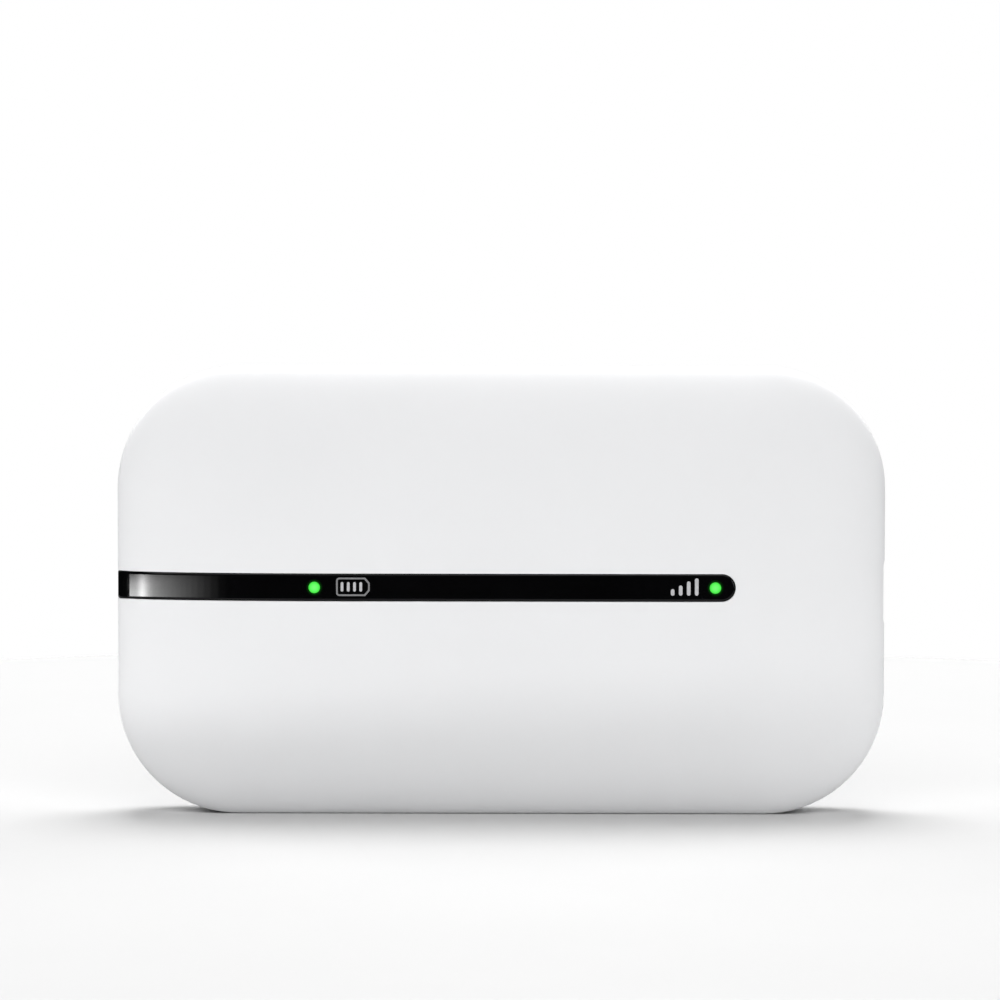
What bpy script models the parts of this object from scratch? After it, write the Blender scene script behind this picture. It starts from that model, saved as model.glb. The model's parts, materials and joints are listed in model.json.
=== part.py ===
"""Pocket mobile hotspot, standing on its lower long edge.

+X is to the right and +Z up for someone who faces the front, which looks along -Y. The origin is under
the middle of the body, at the level of the lower edge. The stack of parts runs from the front shell at
-Y, through the circuit board and the chassis, to the battery and the rear cover at +Y.
"""

import math

import bmesh
import bpy
from mathutils import Matrix, Vector

MM = 0.001

# Body
WIDTH = 100.0 * MM
HEIGHT = 58.3 * MM
THICKNESS = 14.4 * MM
CORNER_RADIUS = 15.65 * MM
HALF_WIDTH = WIDTH / 2
MID_Z = HEIGHT / 2
FRONT_Y = -THICKNESS / 2
BACK_Y = THICKNESS / 2
BAND_FRONT_Y = -2.4 * MM  # the side band runs square to the face between these two depths
BAND_BACK_Y = 3.2 * MM
PARTING_Y = 0.8 * MM  # the front shell's rim
BACK_ROUNDING = 8.0 * MM
FRONT_WALL = 1.6 * MM
BACK_WALL = 1.3 * MM
GAP = 0.3 * MM  # between pieces that touch
FINE_GAP = 0.15 * MM  # round the lens and the power button
SEAT = 0.1 * MM  # under soldered and glued pieces
CORNER_STEPS = 7

# Indicator strip; its centre line runs a little above the body's middle
STRIP_Z = MID_Z + 0.9 * MM
STRIPE_HALF = 1.82 * MM
STRIPE_END_X = 30.6 * MM
LENS_THICKNESS = 0.8 * MM
CHANNEL_DEPTH = 1.05 * MM
LENS_EDGE_Y = -4.05 * MM
BATTERY_LIGHT_X = -24.3 * MM
SIGNAL_LIGHT_X = 27.9 * MM

# Circuit board
BOARD_FRONT_Y = -3.0 * MM
BOARD_BACK_Y = -2.2 * MM
BOARD_INSET = 4.0 * MM
BOARD_RADIUS = 12.0 * MM
ON_BACK_Y = BOARD_BACK_Y + SEAT
ON_FRONT_Y = BOARD_FRONT_Y - SEAT

# Chassis, battery bay and battery
PLATE_FRONT_Y = -0.3 * MM
PLATE_BACK_Y = 0.5 * MM
PLATE_INSET = FRONT_WALL + GAP
BAY_FLOOR_Y = 0.45 * MM
BAY_WALL_Y = 4.6 * MM
BAY_WALL = 1.2 * MM
BATTERY_WIDTH = 64.0 * MM
BATTERY_HEIGHT = 44.0 * MM
BATTERY_FRONT_Y = 0.8 * MM
BATTERY_BACK_Y = 5.45 * MM
BATTERY_CAP = 2.2 * MM
BAY_CLEARANCE = 0.5 * MM

# Screws, and the bosses that they go into
SCREW_X = 41.0 * MM
SCREW_Z_OFFSET = 18.65 * MM
SCREW_SHANK_RADIUS = 0.6 * MM
SCREW_HEAD_RADIUS = 1.45 * MM
SCREW_SEAT_Y = 0.8 * MM
PILOT_RADIUS = SCREW_SHANK_RADIUS + 0.2 * MM
SCREW_HOLE_RADIUS = SCREW_SHANK_RADIUS + GAP
HEAD_RECESS_RADIUS = SCREW_HEAD_RADIUS + GAP
BOSS_RADIUS = 1.9 * MM

# Power button, switch and USB socket
BUTTON_Y = (-3.8 * MM, -0.3 * MM)
BUTTON_HALF = 1.67 * MM
PLUNGER_Y = -1.6 * MM
USB_Y = (-2.55 * MM, 0.05 * MM)
USB_HALF = 3.75 * MM
USB_X = (43.8 * MM, 49.3 * MM)
USB_WALL = 0.25 * MM

# Card socket
CARD_X = (-27.6 * MM, -12.6 * MM)
CARD_Z = (23.15 * MM, 35.15 * MM)
CARD_Y = (-1.5 * MM, -0.74 * MM)

# Reset button, and the antennas with the springs that feed them
RESET_PLACE = (38.5 * MM, 0.0, 18.0 * MM)
RESET_RADIUS = 1.1 * MM
SPRING_PLACES = ((-41.5 * MM, 0.0, 20.0 * MM), (-41.5 * MM, 0.0, 38.5 * MM), (40.5 * MM, 0.0, 40.0 * MM))
ANTENNA_Y = (0.62 * MM, 0.77 * MM)

# Tabs that hold the rear cover
TAB_WIDTH = 6.0 * MM
TAB_X = (-26.0 * MM, 0.0, 26.0 * MM)

# Colour, roughness and metallic value of each finish
FINISHES = {
    "white_shell": ((0.86, 0.87, 0.88), 0.38, 0.0),
    "black_gloss": ((0.006, 0.006, 0.007), 0.06, 0.0),
    "chassis_grey": ((0.10, 0.10, 0.11), 0.55, 0.0),
    "board_green": ((0.02, 0.13, 0.06), 0.45, 0.0),
    "tinned_steel": ((0.62, 0.62, 0.61), 0.32, 1.0),
    "stainless": ((0.70, 0.70, 0.72), 0.25, 1.0),
    "gold": ((0.95, 0.70, 0.32), 0.25, 1.0),
    "copper": ((0.85, 0.46, 0.28), 0.35, 1.0),
    "chip_black": ((0.025, 0.025, 0.028), 0.5, 0.0),
    "light_green": ((0.15, 0.95, 0.15), 0.3, 0.0),
    "clear_guide": ((0.85, 0.88, 0.88), 0.15, 0.0),
    "foam_black": ((0.02, 0.02, 0.02), 0.95, 0.0),
    "silicone_grey": ((0.45, 0.48, 0.52), 0.8, 0.0),
    "card_plastic": ((0.80, 0.80, 0.78), 0.4, 0.0),
    "battery_wrap": ((0.30, 0.31, 0.33), 0.45, 0.0),
    "label_white": ((0.82, 0.82, 0.80), 0.6, 0.0),
    "tantalum_yellow": ((0.78, 0.55, 0.12), 0.4, 0.0),
}


# ---------------------------------------------------------------- objects and modifiers


def remove_scene_objects():
    for obj in list(bpy.data.objects):
        bpy.data.objects.remove(obj, do_unlink=True)


def new_collection(name):
    collection = bpy.data.collections.new(name)
    bpy.context.scene.collection.children.link(collection)
    return collection


def new_material(name, finish):
    colour, roughness, metallic = FINISHES[finish]
    material = bpy.data.materials.new(name)
    material.use_nodes = True
    shader = material.node_tree.nodes["Principled BSDF"]
    shader.inputs["Base Color"].default_value = (*colour, 1.0)
    shader.inputs["Roughness"].default_value = roughness
    shader.inputs["Metallic"].default_value = metallic
    material.diffuse_color = (*colour, 1.0)
    return material


def add_part(name, mesh, finish, location=(0.0, 0.0, 0.0)):
    """A named part with its own material, in the parts collection."""
    obj = bpy.data.objects.new(name, mesh)
    obj.location = location
    if not mesh.materials:
        mesh.materials.append(new_material(name, finish))
    PARTS.objects.link(obj)
    return obj


def add_cutter(name, mesh, location=(0.0, 0.0, 0.0)):
    """A shape that only cuts or completes a part."""
    obj = bpy.data.objects.new(name, mesh)
    obj.location = location
    obj.hide_render = True
    obj.display_type = "WIRE"
    CUTTERS.objects.link(obj)
    return obj


def boolean(obj, other, operation):
    modifier = obj.modifiers.new(f"{operation.lower()}_{other.name}", "BOOLEAN")
    modifier.operation = operation
    modifier.solver = "EXACT"
    modifier.object = other


def solidify(obj, thickness, offset=-1.0):
    modifier = obj.modifiers.new("wall", "SOLIDIFY")
    modifier.thickness = thickness
    modifier.offset = offset
    modifier.use_even_offset = True
    modifier.use_quality_normals = True


def to_mesh(bm, name):
    mesh = bpy.data.meshes.new(name)
    bm.to_mesh(mesh)
    bm.free()
    mesh.shade_smooth()
    mesh.set_sharp_from_angle(angle=math.radians(35))
    return mesh


def closed_mesh(bm, name):
    bmesh.ops.recalc_face_normals(bm, faces=bm.faces)
    return to_mesh(bm, name)


# ---------------------------------------------------------------- simple solids


def span_centre(spans):
    return Vector([(low + high) / 2 for low, high in spans])


def box_mesh(name, spans, bevel=0.0, bevel_axis=None, segments=2):
    """A box over three (low, high) spans, centred on its own origin, with round edges where asked."""
    bm = bmesh.new()
    size = [high - low for low, high in spans]
    bmesh.ops.create_cube(bm, size=1.0, matrix=Matrix.Diagonal((*size, 1.0)))
    if bevel:
        edges = [edge for edge in bm.edges if bevel_axis is None or runs_along(edge, bevel_axis)]
        bmesh.ops.bevel(bm, geom=edges, offset=bevel, segments=segments, profile=0.5, affect="EDGES")
    return closed_mesh(bm, name)


def runs_along(edge, axis):
    direction = edge.verts[1].co - edge.verts[0].co
    return abs(direction[axis]) > 0.99 * direction.length


def box(name, finish, spans, **rounding):
    return add_part(name, box_mesh(name, spans, **rounding), finish, span_centre(spans))


def cut_box(obj, name, spans, **rounding):
    cutter = add_cutter(name, box_mesh(name, spans, **rounding), span_centre(spans))
    boolean(obj, cutter, "DIFFERENCE")


def join_box(obj, name, spans, **rounding):
    addition = add_cutter(name, box_mesh(name, spans, **rounding), span_centre(spans))
    boolean(obj, addition, "UNION")


def cylinder_bmesh(places, axis, low, high, radius, sides=20):
    """Cylinders along X (axis 0) or Y (axis 1), from low to high, at each (x, y, z) place."""
    turn = Matrix.Rotation(math.pi / 2, 4, "YX"[axis])
    bm = bmesh.new()
    for place in places:
        centre = Vector(place)
        centre[axis] = (low + high) / 2
        bmesh.ops.create_cone(bm, cap_ends=True, segments=sides, radius1=radius, radius2=radius,
                              depth=high - low, matrix=Matrix.Translation(centre) @ turn)
    return bm


def cut_cylinders(obj, name, places, axis, low, high, radius, sides=20):
    cutter = add_cutter(name, closed_mesh(cylinder_bmesh(places, axis, low, high, radius, sides), name))
    boolean(obj, cutter, "DIFFERENCE")


def join_cylinders(obj, name, places, axis, low, high, radius, sides=20):
    addition = add_cutter(name, closed_mesh(cylinder_bmesh(places, axis, low, high, radius, sides), name))
    boolean(obj, addition, "UNION")


def prism_bmesh(outline, axis, low, high):
    """An outline of points on the two other axes, in order, extruded along the axis from low to high."""
    others = [other for other in range(3) if other != axis]
    bm = bmesh.new()
    verts = []
    for first, second in outline:
        point = Vector((0.0, 0.0, 0.0))
        point[others[0]] = first
        point[others[1]] = second
        point[axis] = low
        verts.append(bm.verts.new(point))
    face = bm.faces.new(verts)
    extruded = bmesh.ops.extrude_face_region(bm, geom=[face])
    offset = Vector((0.0, 0.0, 0.0))
    offset[axis] = high - low
    moved = [item for item in extruded["geom"] if isinstance(item, bmesh.types.BMVert)]
    bmesh.ops.translate(bm, verts=moved, vec=offset)
    return bm


def prism(name, finish, outline, axis, low, high):
    return add_part(name, closed_mesh(prism_bmesh(outline, axis, low, high), name), finish)


def cutter_prism(name, outline, axis, low, high):
    return add_cutter(name, closed_mesh(prism_bmesh(outline, axis, low, high), name))


def turned(name, finish, profile, place, sides=16):
    """A round piece turned about an axis along Y: its profile is (radius, y from the place) points,
    which start and end on the axis and run from the front to the back."""
    bm = bmesh.new()
    verts = [bm.verts.new((radius, 0.0, -depth)) for radius, depth in profile]
    for first, second in zip(verts, verts[1:]):
        bm.edges.new((first, second))
    obj = add_part(name, to_mesh(bm, name), finish, place)
    obj.rotation_euler = (math.pi / 2, 0.0, 0.0)
    screw = obj.modifiers.new("turn", "SCREW")
    screw.axis = "Z"
    screw.angle = 2 * math.pi
    screw.steps = sides
    screw.render_steps = sides
    screw.use_merge_vertices = True
    screw.merge_threshold = 1e-6
    return obj


# ---------------------------------------------------------------- outlines and skins


def rounded_outline(half_x, half_z, radius, steps=CORNER_STEPS):
    """Points (x, z) round a rounded rectangle centred on x = 0 at mid-height."""
    corners = ((1, 1), (-1, 1), (-1, -1), (1, -1))
    points = []
    for quarter, (side_x, side_z) in enumerate(corners):
        for step in range(steps + 1):
            angle = math.pi / 2 * (quarter + step / steps)
            x = side_x * (half_x - radius) + radius * math.cos(angle)
            z = side_z * (half_z - radius) + radius * math.sin(angle)
            points.append((x, MID_Z + z))
    return points


def stripe_outline(start_x, margin=0.0, steps=12):
    """The strip's face: straight from start_x, with a half-round right end."""
    radius = STRIPE_HALF + margin
    centre_x = STRIPE_END_X - STRIPE_HALF
    points = [(start_x, STRIP_Z + radius), (start_x, STRIP_Z - radius)]
    for step in range(steps + 1):
        angle = -math.pi / 2 + math.pi * step / steps
        points.append((centre_x + radius * math.cos(angle), STRIP_Z + radius * math.sin(angle)))
    return points


def front_rings(steps=8, last_angle=math.radians(83)):
    """(outline, y) rings from the rim, along the side band and over the crown.

    Every section is a quarter ellipse, from square to the face at the band to flat at the middle."""
    rings = [(rounded_outline(HALF_WIDTH, MID_Z, CORNER_RADIUS), PARTING_Y)]
    bulge = (BAND_FRONT_Y - FRONT_Y) / math.sin(last_angle)
    for step in range(steps + 1):
        angle = last_angle * step / steps
        scale = math.cos(angle)
        outline = rounded_outline(HALF_WIDTH - MID_Z * (1 - scale), MID_Z * scale, CORNER_RADIUS * scale)
        rings.append((outline, BAND_FRONT_Y - bulge * math.sin(angle)))
    return rings


def back_rings(steps=6):
    """Rings from the cover's rim, along the band and over the rounding to the flat back."""
    rings = [(rounded_outline(HALF_WIDTH, MID_Z, CORNER_RADIUS), PARTING_Y + GAP)]
    for step in range(steps + 1):
        angle = math.pi / 2 * step / steps
        inset = BACK_ROUNDING * (1 - math.cos(angle))
        outline = rounded_outline(HALF_WIDTH - inset, MID_Z - inset, CORNER_RADIUS - inset / 2)
        rings.append((outline, BAND_BACK_Y + (BACK_Y - BAND_BACK_Y) * math.sin(angle)))
    return rings


def skin_mesh(name, rings):
    """The open skin through the rings, closed by a flat cap on the last, with its faces pointing out."""
    bm = bmesh.new()
    rows = []
    for outline, y in rings:
        rows.append([bm.verts.new((x, y, z)) for x, z in outline])
    for row, following in zip(rows, rows[1:]):
        for index in range(len(row)):
            after = (index + 1) % len(row)
            bm.faces.new((row[index], row[after], following[after], following[index]))
    cap = bm.faces.new(rows[-1])
    bmesh.ops.recalc_face_normals(bm, faces=bm.faces)
    cap.normal_update()
    last_y = rings[-1][1]
    if cap.normal.y * last_y < 0:
        bmesh.ops.reverse_faces(bm, faces=bm.faces)
    return to_mesh(bm, name)


# ---------------------------------------------------------------- enclosure


def screw_places():
    corners = ((-1, -1), (-1, 1), (1, -1), (1, 1))
    return [(side_x * SCREW_X, 0.0, MID_Z + side_z * SCREW_Z_OFFSET) for side_x, side_z in corners]


def light_places():
    return [(BATTERY_LIGHT_X, 0.0, STRIP_Z), (SIGNAL_LIGHT_X, 0.0, STRIP_Z)]


def build_front_shell():
    shell = add_part("front_shell", skin_mesh("front_shell", front_rings()), "white_shell")
    solidify(shell, FRONT_WALL)
    join_cylinders(shell, "front_bosses", screw_places(), 1, -4.7 * MM, -0.6 * MM, BOSS_RADIUS)
    cut_cylinders(shell, "boss_pilot_holes", screw_places(), 1, -4.2 * MM, 0.0, PILOT_RADIUS, 12)
    outside = 0.6 * MM
    depth = outside + CHANNEL_DEPTH
    channel = add_cutter("lens_channel", skin_mesh("lens_channel", front_rings()))
    solidify(channel, depth, offset=2 * outside / depth - 1)
    outline = cutter_prism("channel_outline", stripe_outline(-53 * MM, FINE_GAP), 1, -9 * MM, -1 * MM)
    boolean(channel, outline, "INTERSECT")
    boolean(shell, channel, "DIFFERENCE")
    cut_cylinders(shell, "light_holes", light_places(), 1, -7.0 * MM, -5.0 * MM, 1.0 * MM, 16)
    hole_y = (BUTTON_Y[0] - FINE_GAP, BUTTON_Y[1] + FINE_GAP)
    cut_box(shell, "button_hole", ((-53 * MM, -44.5 * MM), hole_y, strip_span(BUTTON_HALF + FINE_GAP)))
    usb_y = (USB_Y[0] - FINE_GAP, USB_Y[1] + FINE_GAP)
    cut_box(shell, "usb_opening", ((44 * MM, 52 * MM), usb_y, mid_span(USB_HALF + GAP)),
            bevel=0.6 * MM, bevel_axis=0)
    return shell


def mid_span(half):
    return (MID_Z - half, MID_Z + half)


def strip_span(half):
    return (STRIP_Z - half, STRIP_Z + half)


def build_indicator_lens():
    lens = add_part("indicator_lens", skin_mesh("indicator_lens", front_rings()), "black_gloss")
    solidify(lens, LENS_THICKNESS)
    outline = cutter_prism("lens_outline", stripe_outline(-53 * MM), 1, -9 * MM, LENS_EDGE_Y)
    boolean(lens, outline, "INTERSECT")


def build_power_button():
    """The key's face follows the shell; behind it are its flange and the stem that meets the switch."""
    button = add_part("power_button", skin_mesh("power_button", front_rings()), "black_gloss")
    solidify(button, 1.2 * MM)
    face = ((-53 * MM, -44.6 * MM), BUTTON_Y, strip_span(BUTTON_HALF))
    face_cutter = add_cutter("button_face", box_mesh("button_face", face), span_centre(face))
    boolean(button, face_cutter, "INTERSECT")
    join_box(button, "button_post", ((-49.0 * MM, -47.8 * MM), (-2.2 * MM, -0.6 * MM), strip_span(1.5 * MM)))
    flange = ((-48.05 * MM, -47.5 * MM), (-2.25 * MM, -0.65 * MM), strip_span(2.4 * MM))
    join_box(button, "button_flange", flange)
    stem = [(0.0, PLUNGER_Y, STRIP_Z)]
    join_cylinders(button, "button_stem", stem, 0, -47.7 * MM, -46.4 * MM, 0.6 * MM, 12)


def build_rear_cover():
    cover = add_part("rear_cover", skin_mesh("rear_cover", back_rings()), "white_shell")
    solidify(cover, BACK_WALL)
    tab = ((-0.1, 1.9), (-0.1, 2.7), (3.4, 2.7), (3.4, 0.6), (1.5, 0.6), (1.5, 1.9))
    for number, (x, side) in enumerate(tab_places(), start=1):
        outline = [(y * MM, MID_Z + side * (MID_Z - depth * MM)) for y, depth in tab]
        low = x - TAB_WIDTH / 2
        boolean(cover, cutter_prism(f"cover_tab_{number}", outline, 0, low, low + TAB_WIDTH), "UNION")
    notch = [(HALF_WIDTH, PARTING_Y + GAP, MID_Z)]
    cut_cylinders(cover, "thumbnail_notch", notch, 0, 49.3 * MM, 52 * MM, 1.3 * MM, 24)


def tab_places():
    return [(x, side) for x in TAB_X for side in (-1, 1)]


def build_chassis():
    half_x = HALF_WIDTH - PLATE_INSET
    half_z = MID_Z - PLATE_INSET
    outline = rounded_outline(half_x, half_z, CORNER_RADIUS - PLATE_INSET)
    chassis = prism("chassis", "chassis_grey", outline, 1, PLATE_FRONT_Y, PLATE_BACK_Y)
    bay_half_x = BATTERY_WIDTH / 2 + BAY_CLEARANCE
    bay_half_z = BATTERY_HEIGHT / 2 + BAY_CLEARANCE
    wall_x = (-bay_half_x - BAY_WALL, bay_half_x + BAY_WALL)
    join_box(chassis, "bay_block", (wall_x, (0.2 * MM, BAY_WALL_Y), mid_span(bay_half_z + BAY_WALL)))
    join_cylinders(chassis, "chassis_bosses", screw_places(), 1, 0.2 * MM, 1.8 * MM, 2.6 * MM)
    cut_box(chassis, "bay", ((-bay_half_x, bay_half_x), (BAY_FLOOR_Y, 6 * MM), mid_span(bay_half_z)))
    cut_box(chassis, "connector_window", ((-37.3 * MM, -31.9 * MM), (-1 * MM, 6 * MM), mid_span(6.1 * MM)))
    cut_box(chassis, "finger_notch", ((31 * MM, 35 * MM), (1.6 * MM, 6 * MM), mid_span(6 * MM)))
    usb_notch = ((USB_X[0] - GAP, 50 * MM), (-1 * MM, 1 * MM), mid_span(USB_HALF + GAP))
    cut_box(chassis, "chassis_usb_notch", usb_notch)
    cut_box(chassis, "card_window", ((-29.6 * MM, -1.2 * MM), (-1 * MM, 2 * MM), (21 * MM, 37.3 * MM)))
    cut_cylinders(chassis, "screw_holes", screw_places(), 1, -1 * MM, 1.0 * MM, SCREW_HOLE_RADIUS, 12)
    recess_floor = SCREW_SEAT_Y - SEAT
    cut_cylinders(chassis, "screw_recesses", screw_places(), 1, recess_floor, 3 * MM, HEAD_RECESS_RADIUS, 16)
    cut_cylinders(chassis, "reset_hole", [RESET_PLACE], 1, -1 * MM, 2 * MM, RESET_RADIUS + GAP, 16)
    for number, (x, _, z) in enumerate(SPRING_PLACES, start=1):
        spans = ((x - 1.3 * MM, x + 1.3 * MM), (-1 * MM, 2 * MM), (z - 1.0 * MM, z + 1.0 * MM))
        cut_box(chassis, f"spring_window_{number}", spans)
    for number, (x, side) in enumerate(tab_places(), start=1):
        half = TAB_WIDTH / 2 + GAP
        ends = sorted((MID_Z + side * MID_Z, MID_Z + side * (MID_Z - 3.1 * MM)))
        cut_box(chassis, f"tab_notch_{number}", ((x - half, x + half), (-1 * MM, 2 * MM), ends))


def build_screws():
    """Self-tapping screws: the head's face and its cross recess are at the back."""
    length = 4.0 * MM
    head = 0.85 * MM
    profile = ((0.0, -length), (0.35 * MM, -length), (SCREW_SHANK_RADIUS, -length + 0.6 * MM),
               (SCREW_SHANK_RADIUS, 0.0), (SCREW_HEAD_RADIUS, 0.0), (SCREW_HEAD_RADIUS, head * 0.55),
               (SCREW_HEAD_RADIUS * 0.72, head), (0.0, head))
    for number, (x, _, z) in enumerate(screw_places(), start=1):
        screw = turned(f"screw_{number}", "stainless", profile, (x, SCREW_SEAT_Y, z))
        recess_y = (SCREW_SEAT_Y + head - 0.45 * MM, SCREW_SEAT_Y + head + 1 * MM)
        for direction, (half_x, half_z) in enumerate(((0.75, 0.16), (0.16, 0.75)), start=1):
            spans = ((x - half_x * MM, x + half_x * MM), recess_y, (z - half_z * MM, z + half_z * MM))
            cut_box(screw, f"screw_{number}_recess_{direction}", spans)


# ---------------------------------------------------------------- circuit board and what it carries


def build_board():
    outline = rounded_outline(HALF_WIDTH - BOARD_INSET, MID_Z - BOARD_INSET, BOARD_RADIUS)
    board = prism("main_board", "board_green", outline, 1, BOARD_FRONT_Y, BOARD_BACK_Y)
    cut_cylinders(board, "board_boss_holes", screw_places(), 1, -4 * MM, -1 * MM, BOSS_RADIUS + GAP)
    cut_box(board, "switch_notch", ((-50 * MM, -42.6 * MM), (-4 * MM, -1 * MM), strip_span(2.6 * MM)))
    cut_box(board, "usb_notch", ((USB_X[0] - GAP, 50 * MM), (-4 * MM, -1 * MM), mid_span(USB_HALF + GAP)))


def shield_can(name, span_x, span_z, seat_y, top_y):
    """A tin lid, open towards the board."""
    wall = 0.15 * MM
    span_y = (min(seat_y, top_y), max(seat_y, top_y))
    can = box(name, "tinned_steel", (span_x, span_y, span_z), bevel=0.4 * MM, bevel_axis=1, segments=1)
    towards = 1.0 if top_y > seat_y else -1.0
    inner_top = top_y - towards * wall
    beyond = seat_y - towards * 1.0 * MM
    inside = ((span_x[0] + wall, span_x[1] - wall), (min(inner_top, beyond), max(inner_top, beyond)),
              (span_z[0] + wall, span_z[1] - wall))
    cut_box(can, f"{name}_inside", inside)


def build_chips():
    shield_can("baseband_shield", (3 * MM, 24 * MM), (10 * MM, 30 * MM), ON_BACK_Y, -0.8 * MM)
    shield_can("radio_shield", (3 * MM, 24 * MM), (33 * MM, 49 * MM), ON_BACK_Y, -0.8 * MM)
    shield_can("wifi_shield", (-6 * MM, 8 * MM), (34 * MM, 46 * MM), ON_FRONT_Y, -4.3 * MM)
    chips = {
        "baseband_chip": ((5, 16), (12, 23)),
        "memory_chip": ((17.5, 22.5), (12, 21)),
        "radio_chip": ((5, 11.5), (36, 42.5)),
        "power_amplifier_chip": ((14, 18), (36, 41)),
        "power_management_chip": ((-26, -19), (10, 17)),
    }
    for name, ((x_low, x_high), (z_low, z_high)) in chips.items():
        spans = ((x_low * MM, x_high * MM), (ON_BACK_Y, -1.25 * MM), (z_low * MM, z_high * MM))
        box(name, "chip_black", spans)
    box("wifi_chip", "chip_black", ((-3 * MM, 3 * MM), (-3.95 * MM, ON_FRONT_Y), (37 * MM, 43 * MM)))
    box("crystal", "tinned_steel", ((-32 * MM, -29 * MM), (ON_BACK_Y, -1.4 * MM), (12 * MM, 14.4 * MM)),
        bevel=0.3 * MM, bevel_axis=1)
    box("thermal_pad", "silicone_grey", ((5 * MM, 16 * MM), (-0.7 * MM, -0.4 * MM), (12 * MM, 23 * MM)))
    for number, x in enumerate((-15 * MM, -10 * MM), start=1):
        spans = ((x, x + 3 * MM), (ON_BACK_Y, -1.0 * MM), (10.5 * MM, 13.5 * MM))
        box(f"inductor_{number}", "chip_black", spans, bevel=0.5 * MM, bevel_axis=1)
    capacitor = ((-15 * MM, -11.5 * MM), (ON_BACK_Y, -0.7 * MM), (41 * MM, 43.8 * MM))
    box("capacitor", "tantalum_yellow", capacitor)


def build_lights():
    """Each light: a small LED on the board, a clear guide up to the lens and a foam ring round it."""
    for name, (x, _, z) in zip(("battery", "signal"), light_places()):
        led = ((x - 0.8 * MM, x + 0.8 * MM), (-3.65 * MM, ON_FRONT_Y), (z - 0.4 * MM, z + 0.4 * MM))
        box(f"{name}_led", "light_green", led)
        guide = ((0.0, -6.2 * MM), (0.75 * MM, -6.2 * MM), (0.75 * MM, -5.2 * MM), (1.15 * MM, -5.2 * MM),
                 (1.15 * MM, -4.8 * MM), (0.75 * MM, -4.8 * MM), (0.75 * MM, -3.9 * MM), (0.0, -3.9 * MM))
        turned(f"{name}_light_guide", "clear_guide", guide, (x, 0.0, z))
        ring_name = f"{name}_light_gasket"
        gasket = cylinder_bmesh([(x, 0.0, z)], 1, -4.6 * MM, ON_FRONT_Y, 2.2 * MM)
        ring = add_part(ring_name, closed_mesh(gasket, ring_name), "foam_black")
        cut_cylinders(ring, f"{name}_gasket_hole", [(x, 0.0, z)], 1, -6 * MM, -2 * MM, 1.3 * MM)


def build_power_switch():
    body = box("power_switch_body", "stainless",
               ((-45.4 * MM, -42.9 * MM), (PLUNGER_Y - 1.0 * MM, PLUNGER_Y + 1.0 * MM), strip_span(2.2 * MM)))
    axis_place = [(0.0, PLUNGER_Y, STRIP_Z)]
    cut_cylinders(body, "plunger_recess", axis_place, 0, -46 * MM, -44.7 * MM, 0.75 * MM, 12)
    plunger = cylinder_bmesh(axis_place, 0, -46.3 * MM, -45.1 * MM, 0.6 * MM, 12)
    add_part("power_switch_plunger", closed_mesh(plunger, "power_switch_plunger"), "chip_black")


def build_usb_socket():
    """A thin steel shell with two cut lower corners, open at the right, and the tongue inside it."""
    low_y, high_y = USB_Y
    cut = 0.8 * MM
    shell = prism("usb_shell", "stainless", usb_outline(low_y, high_y, USB_HALF, cut), 0, *USB_X)
    inner = usb_outline(low_y + USB_WALL, high_y - USB_WALL, USB_HALF - USB_WALL, cut)
    boolean(shell, cutter_prism("usb_mouth", inner, 0, USB_X[0] + USB_WALL, 52 * MM), "DIFFERENCE")
    seat = USB_X[0] + USB_WALL + SEAT
    back = ((seat, seat + 0.8 * MM), (low_y + 0.4 * MM, high_y - 1.1 * MM), mid_span(2.6 * MM))
    tongue = box("usb_tongue", "chip_black", back)
    blade_y = (low_y + 0.9 * MM, low_y + 1.4 * MM)
    blade = ((seat + 0.5 * MM, USB_X[1] - 0.8 * MM), blade_y, mid_span(1.9 * MM))
    join_box(tongue, "tongue_blade", blade)


def usb_outline(low_y, high_y, half, cut):
    """(y, z) points of the socket's section, with its two corners towards the back cut off."""
    return [(low_y, MID_Z - half), (low_y, MID_Z + half), (high_y - cut, MID_Z + half),
            (high_y, MID_Z + half - cut), (high_y, MID_Z - half + cut), (high_y - cut, MID_Z - half)]


def build_card_socket():
    x_low = CARD_X[0] - 1.0 * MM
    z_low = CARD_Z[0] - 1.15 * MM
    z_high = CARD_Z[1] + 1.15 * MM
    base = box("card_socket", "chip_black", ((x_low, -13.2 * MM), (ON_BACK_Y, -0.62 * MM), (z_low, z_high)))
    pocket = ((CARD_X[0] - GAP, -10 * MM), (-1.85 * MM, 0.0), (CARD_Z[0] - GAP, CARD_Z[1] + GAP))
    cut_box(base, "card_pocket", pocket)
    lid_spans = ((x_low, -15.2 * MM), (-0.55 * MM, -0.4 * MM), (z_low, z_high))
    lid = box("card_socket_lid", "tinned_steel", lid_spans)
    cut_box(lid, "lid_window", ((-24 * MM, -18 * MM), (-1 * MM, 0.0), (26 * MM, 32.3 * MM)))
    contacts = comb_outline(-26 * MM, -15 * MM, 24.2 * MM, 34.2 * MM, 3)
    prism("card_contacts", "gold", contacts, 1, -1.77 * MM, -1.6 * MM)
    corner = 2.5 * MM
    card = [(CARD_X[0], CARD_Z[0]), (CARD_X[1], CARD_Z[0]), (CARD_X[1], CARD_Z[1] - corner),
            (CARD_X[1] - corner, CARD_Z[1]), (CARD_X[0], CARD_Z[1])]
    prism("sim_card", "card_plastic", card, 1, *CARD_Y)


def comb_outline(x_low, x_high, z_low, z_high, teeth):
    """A spine along the low-x side with teeth that reach to the high-x side."""
    spine = (x_high - x_low) * 0.15
    pitch = (z_high - z_low) / (2 * teeth - 1)
    points = [(x_low, z_high), (x_low, z_low)]
    for tooth in range(teeth):
        bottom = z_low + 2 * tooth * pitch
        points += [(x_high, bottom), (x_high, bottom + pitch)]
        if tooth < teeth - 1:
            points += [(x_low + spine, bottom + pitch), (x_low + spine, bottom + 2 * pitch)]
    return points


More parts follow.
